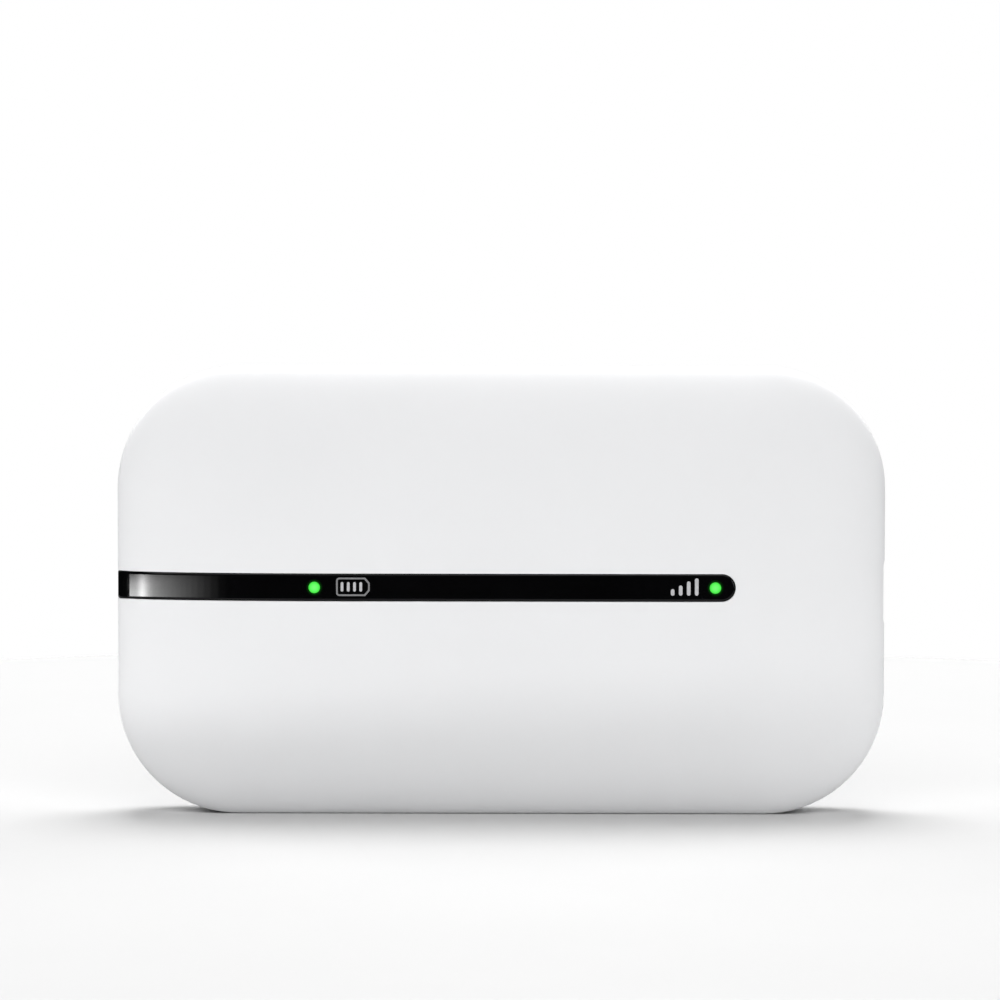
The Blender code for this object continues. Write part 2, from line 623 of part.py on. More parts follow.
def build_reset_button():
    x, _, z = RESET_PLACE
    box("reset_switch_body", "stainless",
        ((x - 2 * MM, x + 2 * MM), (ON_BACK_Y, -1.15 * MM), (z - 1.6 * MM, z + 1.6 * MM)))
    profile = ((0.0, -0.85 * MM), (RESET_RADIUS, -0.85 * MM), (RESET_RADIUS, 1.1 * MM),
               (RESET_RADIUS - 0.2 * MM, 1.3 * MM), (0.0, 1.3 * MM))
    turned("reset_button", "chip_black", profile, RESET_PLACE)


# ---------------------------------------------------------------- battery and its connector


def build_battery():
    half = BATTERY_WIDTH / 2
    span_y = (BATTERY_FRONT_Y, BATTERY_BACK_Y)
    span_z = mid_span(BATTERY_HEIGHT / 2)
    cell = ((-half + BATTERY_CAP, half - BATTERY_CAP), span_y, span_z)
    box("battery_cell", "battery_wrap", cell, bevel=1.2 * MM, bevel_axis=0, segments=4)
    joint_gap = FINE_GAP
    caps = {
        "battery_contact_cap": (-half, -half + BATTERY_CAP - joint_gap),
        "battery_end_cap": (half - BATTERY_CAP + joint_gap, half),
    }
    for name, span_x in caps.items():
        box(name, "chip_black", (span_x, span_y, span_z), bevel=1.2 * MM, bevel_axis=0, segments=4)
    for number, z in enumerate(contact_heights(), start=1):
        terminal_x = (-half - 0.2 * MM, -half - 0.05 * MM)
        terminal = (terminal_x, (1.6 * MM, 4.4 * MM), (z - 1.0 * MM, z + 1.0 * MM))
        box(f"battery_terminal_{number}", "gold", terminal)


def contact_heights():
    return [MID_Z + offset * MM for offset in (-3.4, 0.0, 3.4)]


def build_battery_connector():
    block = ((-36.8 * MM, -33.4 * MM), (ON_BACK_Y, 3.4 * MM), mid_span(5.6 * MM))
    connector = box("battery_connector", "chip_black", block, bevel=0.3 * MM, bevel_axis=0, segments=1)
    for number, z in enumerate(contact_heights(), start=1):
        slot = ((-34.4 * MM, -33.0 * MM), (0.0, 4.0 * MM), (z - 0.8 * MM, z + 0.8 * MM))
        cut_box(connector, f"contact_slot_{number}", slot)
        curve = [(-34.2, 0.2), (-33.9, 0.2), (-33.9, 0.9), (-32.9, 1.9), (-32.5, 2.5), (-32.5, 3.0),
                 (-32.9, 3.2), (-33.6, 3.2), (-33.6, 2.95), (-32.95, 2.95), (-32.75, 2.75),
                 (-33.15, 2.05), (-34.2, 1.0)]
        outline = [(x * MM, y * MM) for x, y in curve]
        prism(f"battery_contact_{number}", "gold", outline, 2, z - 0.5 * MM, z + 0.5 * MM)


# ---------------------------------------------------------------- antennas


def build_antennas():
    """Three meandering foils on the chassis, each fed through a window by a spring on the board."""
    foils = {
        "main_antenna": (-45.6, -38.6, 14.6, 31.0),
        "wifi_antenna": (-45.6, -38.6, 33.6, 43.6),
        "diversity_antenna": (36.2, 45.6, 23.0, 43.6),
    }
    for name, (x_low, x_high, z_low, z_high) in foils.items():
        prism(name, "copper", meander_outline(x_low, x_high, z_low, z_high), 1, *ANTENNA_Y)
    clip = [(-1.1, -2.1), (1.1, -2.1), (1.1, -1.95), (-0.9, -1.95), (-0.9, -1.2), (0.9, 0.1), (0.5, 0.45),
            (0.3, 0.35), (0.6, 0.1), (-1.1, -1.05)]
    for number, (x, _, z) in enumerate(SPRING_PLACES, start=1):
        outline = [(x + offset * MM, y * MM) for offset, y in clip]
        prism(f"antenna_spring_{number}", "gold", outline, 2, z - 0.6 * MM, z + 0.6 * MM)


def meander_outline(x_low, x_high, z_low, z_high):
    """A foil with slots cut in from its left and right edges in turn. Its sizes are in millimetres."""
    slot = 0.8
    strip = 1.6
    left = []
    right = []
    height = z_low + strip
    from_left = True
    while height + slot + strip <= z_high:
        near, far = (x_low, x_high - strip) if from_left else (x_high, x_low + strip)
        notch = [(near, height), (far, height), (far, height + slot), (near, height + slot)]
        if from_left:
            left += notch
        else:
            right += notch
        height += slot + strip
        from_left = not from_left
    points = [(x_low, z_low)] + left + [(x_low, z_high), (x_high, z_high)] + right[::-1] + [(x_high, z_low)]
    return [(x * MM, z * MM) for x, z in points]


remove_scene_objects()
PARTS = new_collection("mobile_hotspot")
CUTTERS = new_collection("cutters")

build_front_shell()
build_indicator_lens()
build_power_button()
build_rear_cover()
build_chassis()
build_screws()
build_board()
build_chips()
build_lights()
build_power_switch()
build_usb_socket()
build_card_socket()
build_reset_button()
build_battery()
build_battery_connector()
build_antennas()
box("bay_label", "label_white", ((2 * MM, 28 * MM), (0.53 * MM, 0.65 * MM), (15 * MM, 43 * MM)))
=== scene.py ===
"""Looks of the pocket mobile hotspot: its shells, glossy indicator strip, lights, icons and materials.

The object stands on its lower long edge with its front facing -Y. Sizes are in metres; the body's own
sizes come from the frame, and what the frame does not hold is named here in millimetres.
"""

import bisect
import json
import math

import bmesh
import bpy
from mathutils import Matrix, Vector


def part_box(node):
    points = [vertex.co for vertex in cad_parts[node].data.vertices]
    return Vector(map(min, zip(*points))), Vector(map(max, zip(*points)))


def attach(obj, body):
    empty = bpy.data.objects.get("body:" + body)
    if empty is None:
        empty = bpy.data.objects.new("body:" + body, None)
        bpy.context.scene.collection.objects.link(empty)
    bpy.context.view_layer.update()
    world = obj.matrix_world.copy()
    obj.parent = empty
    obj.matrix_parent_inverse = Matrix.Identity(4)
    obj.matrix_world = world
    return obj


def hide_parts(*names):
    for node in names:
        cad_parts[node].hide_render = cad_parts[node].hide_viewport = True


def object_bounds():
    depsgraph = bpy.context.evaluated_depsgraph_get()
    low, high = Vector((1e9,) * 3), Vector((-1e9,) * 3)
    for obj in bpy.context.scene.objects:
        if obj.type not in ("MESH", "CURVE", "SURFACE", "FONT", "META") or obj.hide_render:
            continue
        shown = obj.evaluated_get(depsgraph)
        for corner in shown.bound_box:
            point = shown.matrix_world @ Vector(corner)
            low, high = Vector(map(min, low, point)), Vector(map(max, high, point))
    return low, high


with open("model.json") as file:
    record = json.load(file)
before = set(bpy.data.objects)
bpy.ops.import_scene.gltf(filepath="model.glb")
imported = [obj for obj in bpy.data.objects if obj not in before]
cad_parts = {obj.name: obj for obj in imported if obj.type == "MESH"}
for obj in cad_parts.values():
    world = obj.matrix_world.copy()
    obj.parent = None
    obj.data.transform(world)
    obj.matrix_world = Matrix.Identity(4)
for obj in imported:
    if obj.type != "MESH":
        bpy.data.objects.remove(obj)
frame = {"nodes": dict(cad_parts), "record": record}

CAD_LOW, CAD_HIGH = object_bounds()

MM = 0.001
HALF_WIDTH = (CAD_HIGH.x - CAD_LOW.x) / 2
MID_Z = CAD_HIGH.z / 2
FRONT_Y = CAD_LOW.y
BACK_Y = CAD_HIGH.y

# Shells
PARTING_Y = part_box("front_shell")[1].y
CORNER_RADIUS = 15.65 * MM
BAND_FRONT_Y = -2.4 * MM
BAND_BACK_Y = 3.2 * MM
BACK_ROUNDING = 8.0 * MM
FRONT_WALL = 1.6 * MM
BACK_WALL = 1.3 * MM
SEAM = 0.16 * MM  # visible width of the line between the two shells
RIM_ROUND = 0.12 * MM
BULGE = BAND_FRONT_Y - FRONT_Y
CORNER_STEPS = 20
CROWN_END = math.radians(88.5)  # the innermost ring of the crown, closed by a small flat cap
NOTCH_RADIUS = 1.3 * MM  # thumbnail notch at the right end of the rear cover's rim
NOTCH_DEPTH = 0.7 * MM
TAB_X = (-26.0 * MM, 0.0, 26.0 * MM)  # the rear cover's tabs, along its top and its bottom edge
TAB_WIDTH = 6.0 * MM
TAB_PROFILE = ((-0.1, 1.9), (-0.1, 2.7), (3.4, 2.7), (3.4, 0.6), (1.5, 0.6), (1.5, 1.9))  # y and depth, mm
SCREW_X = 41.0 * MM
SCREW_Z_OFFSET = 18.65 * MM
BOSS_RADIUS = 1.9 * MM
BOSS_Y = (-4.7 * MM, -0.6 * MM)
PILOT_RADIUS = 0.8 * MM
PILOT_Y = (-4.2 * MM, 0.0)
USB_OPENING_X = 44.0 * MM  # where the opening starts, inside the body
USB_MARGIN = 0.16 * MM
USB_CHAMFER = 0.35 * MM
USB_CORNER = 0.55 * MM

# Indicator strip
STRIP_Z = sum(corner.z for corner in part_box("indicator_lens")) / 2
STRIPE_HALF = 1.82 * MM
STRIPE_END_X = 30.45 * MM
STRIP_JOINT_Y = -3.86 * MM  # where the power button ends and the lens begins
BUTTON_BACK_Y = -0.2 * MM
HAIRLINE = 0.04 * MM  # gap round the lens and the button
SINK = 0.016 * MM  # their faces lie this far below the shell's skin
BUTTON_REACH = 2.3 * MM
JOINT_BLEND = 3.0 * MM  # within this length the lens walls turn to run along the key's travel
JOINT_CORNER = 0.03 * MM
EDGE_LAND = 0.08 * MM  # flat margin just inside a rolled edge
LENS_DEPTH = 0.8 * MM
LENS_ROLL = (0.28 * MM, 0.14 * MM)  # how far the rolled edge runs in, and how far it falls
BUTTON_ROLL = (0.22 * MM, 0.12 * MM)
BUTTON_CORNER = 0.3 * MM
STEM_RADIUS = 0.7 * MM
CHANNEL_CLEARANCE = 0.2 * MM  # room behind the lens
CHANNEL_PROUD = 0.6 * MM  # how far the channel's cutter stands out of the skin
HOLE_CLEARANCE = 0.6 * MM  # room behind the power button
HOLE_PROUD = 0.5 * MM
PRINT_TOP = 0.004 * MM  # depth of the icons' face below the skin
PRINT_BOTTOM = 0.03 * MM
LIGHT_X = {"battery": -24.22 * MM, "signal": 27.79 * MM}
LIGHT_RADIUS = 0.74 * MM
GLOW_RADIUS = 1.6 * LIGHT_RADIUS
GLOW_REACH = 1.55 * LIGHT_RADIUS
GLOW_TOP = 0.012 * MM

# Printed icons, placed along x and by height above the strip's centre line
SIGNAL_START = 22.24 * MM
SIGNAL_STEP = 1.04 * MM
SIGNAL_BASE = -0.99 * MM
SIGNAL_HEIGHTS = (0.86 * MM, 1.33 * MM, 1.86 * MM, 2.26 * MM)
SIGNAL_WIDTH = 0.48 * MM
CELL_LEFT = -21.39 * MM
CELL_RIGHT = -17.61 * MM
CELL_NUB = -17.03 * MM
CELL_HALF = 1.20 * MM
CELL_MIDDLE = 0.09 * MM
CELL_LINE = 0.22 * MM
CELL_CORNER = 0.42 * MM
CELL_INNER_CORNER = 0.2 * MM
CHARGE_START = -20.62 * MM
CHARGE_STEP = 0.81 * MM
CHARGE_HALF = 0.62 * MM
CHARGE_WIDTH = 0.36 * MM

# Camera
LENS_MM = 200.0
CAMERA_ELEVATION = 4.24
CAMERA_AZIMUTH = 0.16  # degrees towards +X
CAMERA_ROLL = 0.09
FRAME_WIDTH = 130.4 * MM  # width of the view at the object
AIM_ACROSS = -0.17 * MM  # the aim, along X from the middle of the face
AIM_ABOVE = 11.96 * MM  # and above it, so the object stands low in the frame

# Floor and studio lights: lengths in metres, azimuths in degrees from straight ahead towards the left
FLOOR_RADIUS = 0.21
FLOOR_DROP = 0.02 * MM  # the floor lies just under the object, so that no faces coincide
FLOOR_COLOURS = ((0.593, 0.593, 0.593), (0.607, 0.607, 0.607))
PANEL = (0.5, 0.4)
CARD_START = 17.5  # the graduated soft box's dim edge
CARD_FULL = 46.0  # where it reaches its full brightness
CARD_RADIANCE = 37.0
LAMP_AZIMUTH = 42.0  # the lamp behind its cloth shows as a brighter band here
LAMP_SPREAD = 3.5
LAMP_RADIANCE = 40.0
CARD_STEP = 1.25
CARD_COUNT = 32
CARD_DISTANCE = 0.6
CARD_ELEVATION = -5.4
CARD_HEIGHT = 0.016


# ---------------------------------------------------------------- meshes


def add_piece(name, bm, body, material, replaces=()):
    """A finished piece: closed mesh, smooth where it is round, riding on its body."""
    bmesh.ops.recalc_face_normals(bm, faces=bm.faces)
    mesh = bpy.data.meshes.new(name)
    bm.to_mesh(mesh)
    bm.free()
    piece = bpy.data.objects.new(name, mesh)
    bpy.context.scene.collection.objects.link(piece)
    mesh.materials.append(material)
    smooth_by_angle(mesh)
    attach(piece, body)
    if replaces:
        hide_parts(*replaces)
    return piece


def smooth_by_angle(mesh, degrees=32):
    mesh.shade_smooth()
    mesh.set_sharp_from_angle(angle=math.radians(degrees))


def boolean_now(piece, bm, operation):
    """Cuts or joins a closed shape with the piece, and keeps the result in its mesh."""
    bmesh.ops.recalc_face_normals(bm, faces=bm.faces)
    mesh = bpy.data.meshes.new("tool")
    bm.to_mesh(mesh)
    bm.free()
    tool = bpy.data.objects.new("tool", mesh)
    bpy.context.scene.collection.objects.link(tool)
    modifier = piece.modifiers.new("cut", "BOOLEAN")
    modifier.operation = operation
    modifier.solver = "EXACT"
    modifier.object = tool
    graph = bpy.context.evaluated_depsgraph_get()
    result = bpy.data.meshes.new_from_object(piece.evaluated_get(graph), depsgraph=graph)
    piece.modifiers.clear()
    old = piece.data
    result.name = old.name
    piece.data = result
    bpy.data.meshes.remove(old)
    bpy.data.objects.remove(tool)
    bpy.data.meshes.remove(mesh)
    smooth_by_angle(piece.data)


def loft(rings, closed_ends=True):
    """A surface through rings of points, capped at both ends."""
    bm = bmesh.new()
    rows = [[bm.verts.new(point) for point in ring] for ring in rings]
    for row, following in zip(rows, rows[1:]):
        for index in range(len(row)):
            after = (index + 1) % len(row)
            bm.faces.new((row[index], row[after], following[after], following[index]))
    if closed_ends:
        bm.faces.new(rows[0])
        bm.faces.new(rows[-1])
    return bm


def cylinder(centre, axis, low, high, radius, sides=32):
    """A closed cylinder along X (axis 0) or Y (axis 1), from low to high."""
    turn = Matrix.Rotation(math.pi / 2, 4, "YX"[axis])
    middle = Vector(centre)
    middle[axis] = (low + high) / 2
    bm = bmesh.new()
    bmesh.ops.create_cone(bm, cap_ends=True, segments=sides, radius1=radius, radius2=radius,
                          depth=high - low, matrix=Matrix.Translation(middle) @ turn)
    return bm


# ---------------------------------------------------------------- the two shells


def body_outline(half_x, half_z, radius, y, steps=CORNER_STEPS):
    """Points round a rounded rectangle at depth y, centred on the body."""
    corners = ((1, 1), (-1, 1), (-1, -1), (1, -1))
    points = []
    for quarter, (side_x, side_z) in enumerate(corners):
        for step in range(steps + 1):
            angle = math.pi / 2 * (quarter + step / steps)
            x = side_x * (half_x - radius) + radius * math.cos(angle)
            z = side_z * (half_z - radius) + radius * math.sin(angle)
            points.append((x, y, MID_Z + z))
    return points


def front_rings(inset, rim_y, steps=30):
    """Rings from the middle of the crowned front to the side band and the rim.

    Every section is a quarter ellipse; inset moves the whole surface inwards for the inner skin."""
    half_z = MID_Z - inset
    bulge = BULGE - inset
    rings = []
    for step in range(steps, -1, -1):
        angle = CROWN_END * step / steps
        scale = math.cos(angle)
        outline_x = HALF_WIDTH - inset - half_z * (1 - scale)
        radius = (CORNER_RADIUS - inset) * scale
        y = BAND_FRONT_Y - bulge * math.sin(angle)
        rings.append(body_outline(outline_x, half_z * scale, radius, y))
    rings.append(body_outline(HALF_WIDTH - inset, half_z, CORNER_RADIUS - inset, rim_y))
    return rings


def back_rings(inset, rim_y, steps=16):
    """Rings from the flat back, over its rounding, to the side band and the cover's rim."""
    rounding = BACK_ROUNDING - inset
    depth = BACK_Y - inset - BAND_BACK_Y
    rings = []
    for step in range(steps, -1, -1):
        angle = math.pi / 2 * step / steps
        pull = inset + rounding * (1 - math.cos(angle))
        radius = CORNER_RADIUS - inset - (pull - inset) / 2
        y = BAND_BACK_Y + depth * math.sin(angle)
        rings.append(body_outline(HALF_WIDTH - pull, MID_Z - pull, radius, y))
    rings.append(body_outline(HALF_WIDTH - inset, MID_Z - inset, CORNER_RADIUS - inset, rim_y))
    return rings


def rim_rings(rim_y, wall, towards):
    """The rounded edge between the outer and the inner skin; towards is +1 where the rim faces +Y."""
    rings = []
    for start, sign in ((0.0, 1), (wall, -1)):
        for step in range(5):
            angle = math.pi / 2 * (step if sign > 0 else 4 - step) / 4
            inset = start + sign * RIM_ROUND * (1 - math.cos(angle))
            y = rim_y - towards * RIM_ROUND * (1 - math.sin(angle))
            rings.append(body_outline(HALF_WIDTH - inset, MID_Z - inset, CORNER_RADIUS - inset, y))
    return rings


def shell_solid(outer, rim, inner):
    return loft(outer[:-1] + rim + inner[::-1][1:])


def build_front_shell():
    outer = front_rings(0.0, PARTING_Y)
    inner = front_rings(FRONT_WALL, PARTING_Y)
    bm = shell_solid(outer, rim_rings(PARTING_Y, FRONT_WALL, 1), inner)
    shell = add_piece("front_shell_skin", bm, "body", MATERIALS["shell"], ["front_shell"])
    for place in screw_places():
        boolean_now(shell, cylinder(place, 1, *BOSS_Y, BOSS_RADIUS), "UNION")
        boolean_now(shell, cylinder(place, 1, *PILOT_Y, PILOT_RADIUS), "DIFFERENCE")
    for cutter in (lens_channel(), button_hole(), usb_opening()):
        boolean_now(shell, cutter, "DIFFERENCE")


def screw_places():
    heights = (MID_Z - SCREW_Z_OFFSET, MID_Z + SCREW_Z_OFFSET)
    return [(x, 0.0, z) for x in (-SCREW_X, SCREW_X) for z in heights]


def usb_opening():
    """A rounded opening with a chamfered mouth, cut in from the right end."""
    low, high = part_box("usb_shell")
    middle_y = (low.y + high.y) / 2
    sections = (
        (USB_OPENING_X, 0.0),
        (HALF_WIDTH - USB_CHAMFER, 0.0),
        (HALF_WIDTH + USB_CHAMFER, 2 * USB_CHAMFER),
    )
    rings = []
    for x, grow in sections:
        half_y = (high.y - low.y) / 2 + USB_MARGIN + grow
        half_z = (high.z - low.z) / 2 + USB_MARGIN + grow
        radius = USB_CORNER + grow
        ring = []
        for quarter, (side_y, side_z) in enumerate(((1, 1), (-1, 1), (-1, -1), (1, -1))):
            for step in range(7):
                angle = math.pi / 2 * (quarter + step / 6)
                y = middle_y + side_y * (half_y - radius) + radius * math.cos(angle)
                z = MID_Z + side_z * (half_z - radius) + radius * math.sin(angle)
                ring.append((x, y, z))
        rings.append(ring)
    return loft(rings)


def build_rear_cover():
    rim_y = PARTING_Y + SEAM
    outer = back_rings(0.0, rim_y)
    inner = back_rings(BACK_WALL, rim_y)
    bm = shell_solid(outer, rim_rings(rim_y, BACK_WALL, -1), inner)
    cover = add_piece("rear_cover_skin", bm, "rear_cover", MATERIALS["shell"],
                      ["rear_cover"])
    edge = (HALF_WIDTH, rim_y, MID_Z)
    notch = cylinder(edge, 0, HALF_WIDTH - NOTCH_DEPTH, HALF_WIDTH + 2 * MM, NOTCH_RADIUS, 48)
    boolean_now(cover, notch, "DIFFERENCE")
    for x in TAB_X:
        for side in (-1, 1):
            profile = [(y * MM, MID_Z + side * (MID_Z - depth * MM)) for y, depth in TAB_PROFILE]
            ends = [[(end, y, z) for y, z in profile] for end in (x - TAB_WIDTH / 2, x + TAB_WIDTH / 2)]
            boolean_now(cover, loft(ends), "UNION")


# ---------------------------------------------------------------- the indicator strip


def strip_section(count=400):
    """The front skin's section at mid-height, from the left rim to the right.

    Gives the distances along it, and its points and outward normals there."""
    quarter = []
    for step in range(count + 1):
        angle = math.pi / 2 * step / count
        x = HALF_WIDTH - MID_Z * (1 - math.cos(angle))
        normal = Vector((math.cos(angle) / MID_Z, -math.sin(angle) / BULGE, 0.0)).normalized()
        quarter.append((x, BAND_FRONT_Y - BULGE * math.sin(angle), normal))
    points = [Vector((-HALF_WIDTH, PARTING_Y, MID_Z))]
    normals = [Vector((-1.0, 0.0, 0.0))]
    for x, y, normal in quarter:
        points.append(Vector((-x, y, MID_Z)))
        normals.append(Vector((-normal.x, normal.y, 0.0)))
    for x, y, normal in reversed(quarter):
        points.append(Vector((x, y, MID_Z)))
        normals.append(normal)
    distances = [0.0]
    for before, point in zip(points, points[1:]):
        distances.append(distances[-1] + (point - before).length)
    return distances, points, normals


DISTANCES, SECTION_POINTS, SECTION_NORMALS = strip_section()


def outline_scale(x, rise):
    """Which outline of the crown passes through a place: 0 at the middle, 1 at the side band."""
    low = 0.0
    high = 1.0
    for _ in range(24):
        scale = (low + high) / 2
        radius = CORNER_RADIUS * scale
        past_x = abs(x) - (HALF_WIDTH - MID_Z * (1 - scale) - radius)
        past_z = abs(rise) - (MID_Z * scale - radius)
        beyond = max(past_x, past_z) if min(past_x, past_z) < 0 else math.hypot(past_x, past_z)
        if beyond > radius:
            low = scale
        else:
            high = scale
    return high


def crown_y(x, rise):
    """Depth of the front skin at x and a height above the body's middle."""
    return BAND_FRONT_Y - BULGE * math.sqrt(1 - outline_scale(x, rise) ** 2)


def on_strip(distance, height, depth=0.0):
    """The place at a distance along the strip, a height from its centre line and a depth below the skin.

    Depth runs along +X at the power button, which slides that way, and square to the skin elsewhere."""
    low = bisect.bisect_right(DISTANCES, distance, 1, len(DISTANCES) - 1) - 1
    part = (distance - DISTANCES[low]) / (DISTANCES[low + 1] - DISTANCES[low])
    place = SECTION_POINTS[low].lerp(SECTION_POINTS[low + 1], part)
    normal = SECTION_NORMALS[low].lerp(SECTION_NORMALS[low + 1], part).normalized()
    rise = STRIP_Z - MID_Z + height
    droop = crown_y(place.x, rise) - crown_y(place.x, 0.0)
    share = min(max((distance - JOINT_DISTANCE) / JOINT_BLEND, 0.0), 1.0)
    inward = Vector((1.0, 0.0, 0.0)).lerp(-normal, share)
    return place + inward * depth + Vector((0.0, droop, rise))


def distance_at(axis, value):
    """The first distance along the strip at which x (axis 0) or y (axis 1) passes a value."""
    for index, (point, following) in enumerate(zip(SECTION_POINTS, SECTION_POINTS[1:])):
        low, high = sorted((point[axis], following[axis]))
        if low <= value <= high and high > low:
            part = (value - point[axis]) / (following[axis] - point[axis])
            return DISTANCES[index] + part * (DISTANCES[index + 1] - DISTANCES[index])
    raise ValueError("the strip does not reach that place")


JOINT_DISTANCE = distance_at(1, STRIP_JOINT_Y)
BUTTON_BACK_DISTANCE = distance_at(1, BUTTON_BACK_Y)
LENS_END_DISTANCE = distance_at(0, STRIPE_END_X)


def arc(centre, radius, start, end, steps):
    """Points (distance, height) along an arc, from one angle to another in degrees."""
    points = []
    for step in range(steps + 1):
        angle = math.radians(start + (end - start) * step / steps)
        points.append((centre[0] + radius * math.cos(angle), centre[1] + radius * math.sin(angle)))
    return points


def between(start, end, count):
    """Points strictly between two points, closer together near the start."""
    shares = [(step / (count + 1)) ** 1.5 for step in range(1, count + 1)]
    across = end[0] - start[0]
    up = end[1] - start[1]
    return [(start[0] + across * share, start[1] + up * share) for share in shares]


def closed_outline(upper):
    """The upper half of an outline, from one end to the other, with its mirror image below."""
    return upper + [(distance, -height) for distance, height in reversed(upper) if height > 0]


def lens_outline(grow):
    """The lens: a square left end that is never rolled, and a half-round right end."""
    half = STRIPE_HALF + grow
    start = JOINT_DISTANCE - max(grow, -HAIRLINE)
    centre = LENS_END_DISTANCE - STRIPE_HALF
    left = arc((start + JOINT_CORNER, half - JOINT_CORNER), JOINT_CORNER, 180, 90, 3)
    along = between(left[-1], (centre, half), 80)
    upper = left + along + arc((centre, 0.0), half, 90, 0, 16)
    upper[-1] = (centre + half, 0.0)
    return closed_outline(upper)


def button_outline(grow):
    """The power button: a rectangle with small round corners, not rolled where it meets the lens."""
    half = STRIPE_HALF + grow
    start = BUTTON_BACK_DISTANCE - grow
    end = JOINT_DISTANCE + max(grow, -HAIRLINE)
    corner = max(BUTTON_CORNER + grow, 0.05 * MM)
    left = arc((start + corner, half - corner), corner, 180, 90, 6)
    right = arc((end - JOINT_CORNER, half - JOINT_CORNER), JOINT_CORNER, 90, 0, 3)
    return closed_outline(left + between(left[-1], right[0], 20) + right)


def rings_on_strip(outline_at, insets_and_depths):
    """Rings over an outline that is grown by an inset and sunk by a depth."""
    return [[on_strip(s, h, depth) for s, h in outline_at(grow)] for grow, depth in insets_and_depths]


def strip_solid(rings):
    """A solid through rings whose upper and lower halves mirror each other."""
    bm = loft(rings, closed_ends=False)
    bm.verts.ensure_lookup_table()
    count = len(rings[0])
    for first in (0, len(bm.verts) - count):
        ring = [bm.verts[first + index] for index in range(count)]
        for index in range(count // 2):
            corners = (ring[index], ring[index + 1], ring[count - 2 - index], ring[count - 1 - index])
            distinct = list(dict.fromkeys(corners))
            if len(distinct) > 2:
                bm.faces.new(distinct)
    return bm


def rolled_edge(roll, fall, gap, sink, steps=5):
    """Insets and depths over a rolled edge, from its side to a flat margin of its face."""
    pairs = []
    for step in range(steps + 1):
        angle = math.pi / 2 * step / steps
        pairs.append((-gap - roll * (1 - math.cos(angle)), sink + fall * (1 - math.sin(angle))))
    pairs.append((-gap - roll - EDGE_LAND, sink))
    return pairs


def button_root(distance, height, reach):
    """The button's inner end: a plane inside the shell."""
    share = (distance - BUTTON_BACK_DISTANCE) / (JOINT_DISTANCE - BUTTON_BACK_DISTANCE)
    y = BUTTON_BACK_Y + (STRIP_JOINT_Y - BUTTON_BACK_Y) * share
    return Vector((-HALF_WIDTH + reach, y, STRIP_Z + height))


def lens_channel():
    floor_and_mouth = ((0.0, LENS_DEPTH + CHANNEL_CLEARANCE), (0.0, -CHANNEL_PROUD))
    return strip_solid(rings_on_strip(lens_outline, floor_and_mouth))


def button_hole():
    grow = HAIRLINE / 2
    root = [button_root(s, h, BUTTON_REACH + HOLE_CLEARANCE) for s, h in button_outline(grow)]
    mouth = rings_on_strip(button_outline, ((grow, 0.0), (grow, -HOLE_PROUD)))
    return strip_solid([root] + mouth)


def build_lens():
    edge = rolled_edge(*LENS_ROLL, HAIRLINE, SINK)
    rings = rings_on_strip(lens_outline, [(-HAIRLINE, LENS_DEPTH)] + edge)
    glass = strip_solid(rings)
    add_piece("indicator_lens_glass", glass, "body", MATERIALS["lens"], ["indicator_lens"])


def build_power_button():
    face = rings_on_strip(button_outline, rolled_edge(*BUTTON_ROLL, HAIRLINE, SINK))
    root = [button_root(s, h, BUTTON_REACH) for s, h in button_outline(-HAIRLINE)]
    button = add_piece("power_button_key", strip_solid([root] + face), "power_button",
                       MATERIALS["button"], ["power_button"])
    plunger_low, plunger_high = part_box("power_switch_plunger")
    centre = (0.0, (plunger_low.y + plunger_high.y) / 2, STRIP_Z)
    inside_key = -HALF_WIDTH + BUTTON_REACH - 0.3 * MM
    stem = cylinder(centre, 0, inside_key, plunger_low.x, STEM_RADIUS)
    boolean_now(button, stem, "UNION")


# ---------------------------------------------------------------- lights and printed icons


def disc_on_strip(x, radius, top, sides=40):
    """A thin round disc in the strip's face at x."""
    middle = distance_at(0, x)
    ring = [(middle + s, h) for s, h in arc((0.0, 0.0), radius, 0, 360 - 360 / sides, sides - 1)]
    return loft([[on_strip(s, h, depth) for s, h in ring] for depth in (PRINT_BOTTOM, top)])


def build_lights():
    for name, x in LIGHT_X.items():
        glow = disc_on_strip(x, GLOW_RADIUS, GLOW_TOP, 72)
        add_piece(f"{name}_light_glow", glow, "body", glow_material(f"{name} glow", x))
        window = disc_on_strip(x, LIGHT_RADIUS, PRINT_TOP)
        add_piece(f"{name}_light_window", window, "body", light_material(f"{name} light", x))


def print_ring(bm, outline, depth):
    return [bm.verts.new(on_strip(distance_at(0, x), height, depth)) for x, height in outline]


def join_rings(bm, first, second):
    for index in range(len(first)):
        after = (index + 1) % len(first)
        bm.faces.new((first[index], first[after], second[after], second[index]))


def flat_print(name, outlines, material):
    """Thin print on the strip's face: outlines are lists of (x, height) points, one closed shape each."""
    bm = bmesh.new()
    for outline in outlines:
        bottom = print_ring(bm, outline, PRINT_BOTTOM)
        top = print_ring(bm, outline, PRINT_TOP)
        join_rings(bm, bottom, top)
        bm.faces.new(bottom)
        bm.faces.new(top)
    add_piece(name, bm, "body", material)


def rounded_bar(centre_x, low, high, width, steps=6):
    """An upright bar with half-round ends."""
    half = width / 2
    points = []
    for end, sign in ((high - half, 1), (low + half, -1)):
        for step in range(steps + 1):
            angle = math.pi * step / steps
            points.append((centre_x + sign * half * math.cos(angle), end + sign * half * math.sin(angle)))
    return points


def build_signal_icon():
    """Four bars of rising height."""
    bars = []
    for index, height in enumerate(SIGNAL_HEIGHTS):
        x = SIGNAL_START + SIGNAL_STEP * index
        bars.append(rounded_bar(x, SIGNAL_BASE, SIGNAL_BASE + height, SIGNAL_WIDTH))
    flat_print("signal_icon", bars, MATERIALS["glowing_print_bright"])


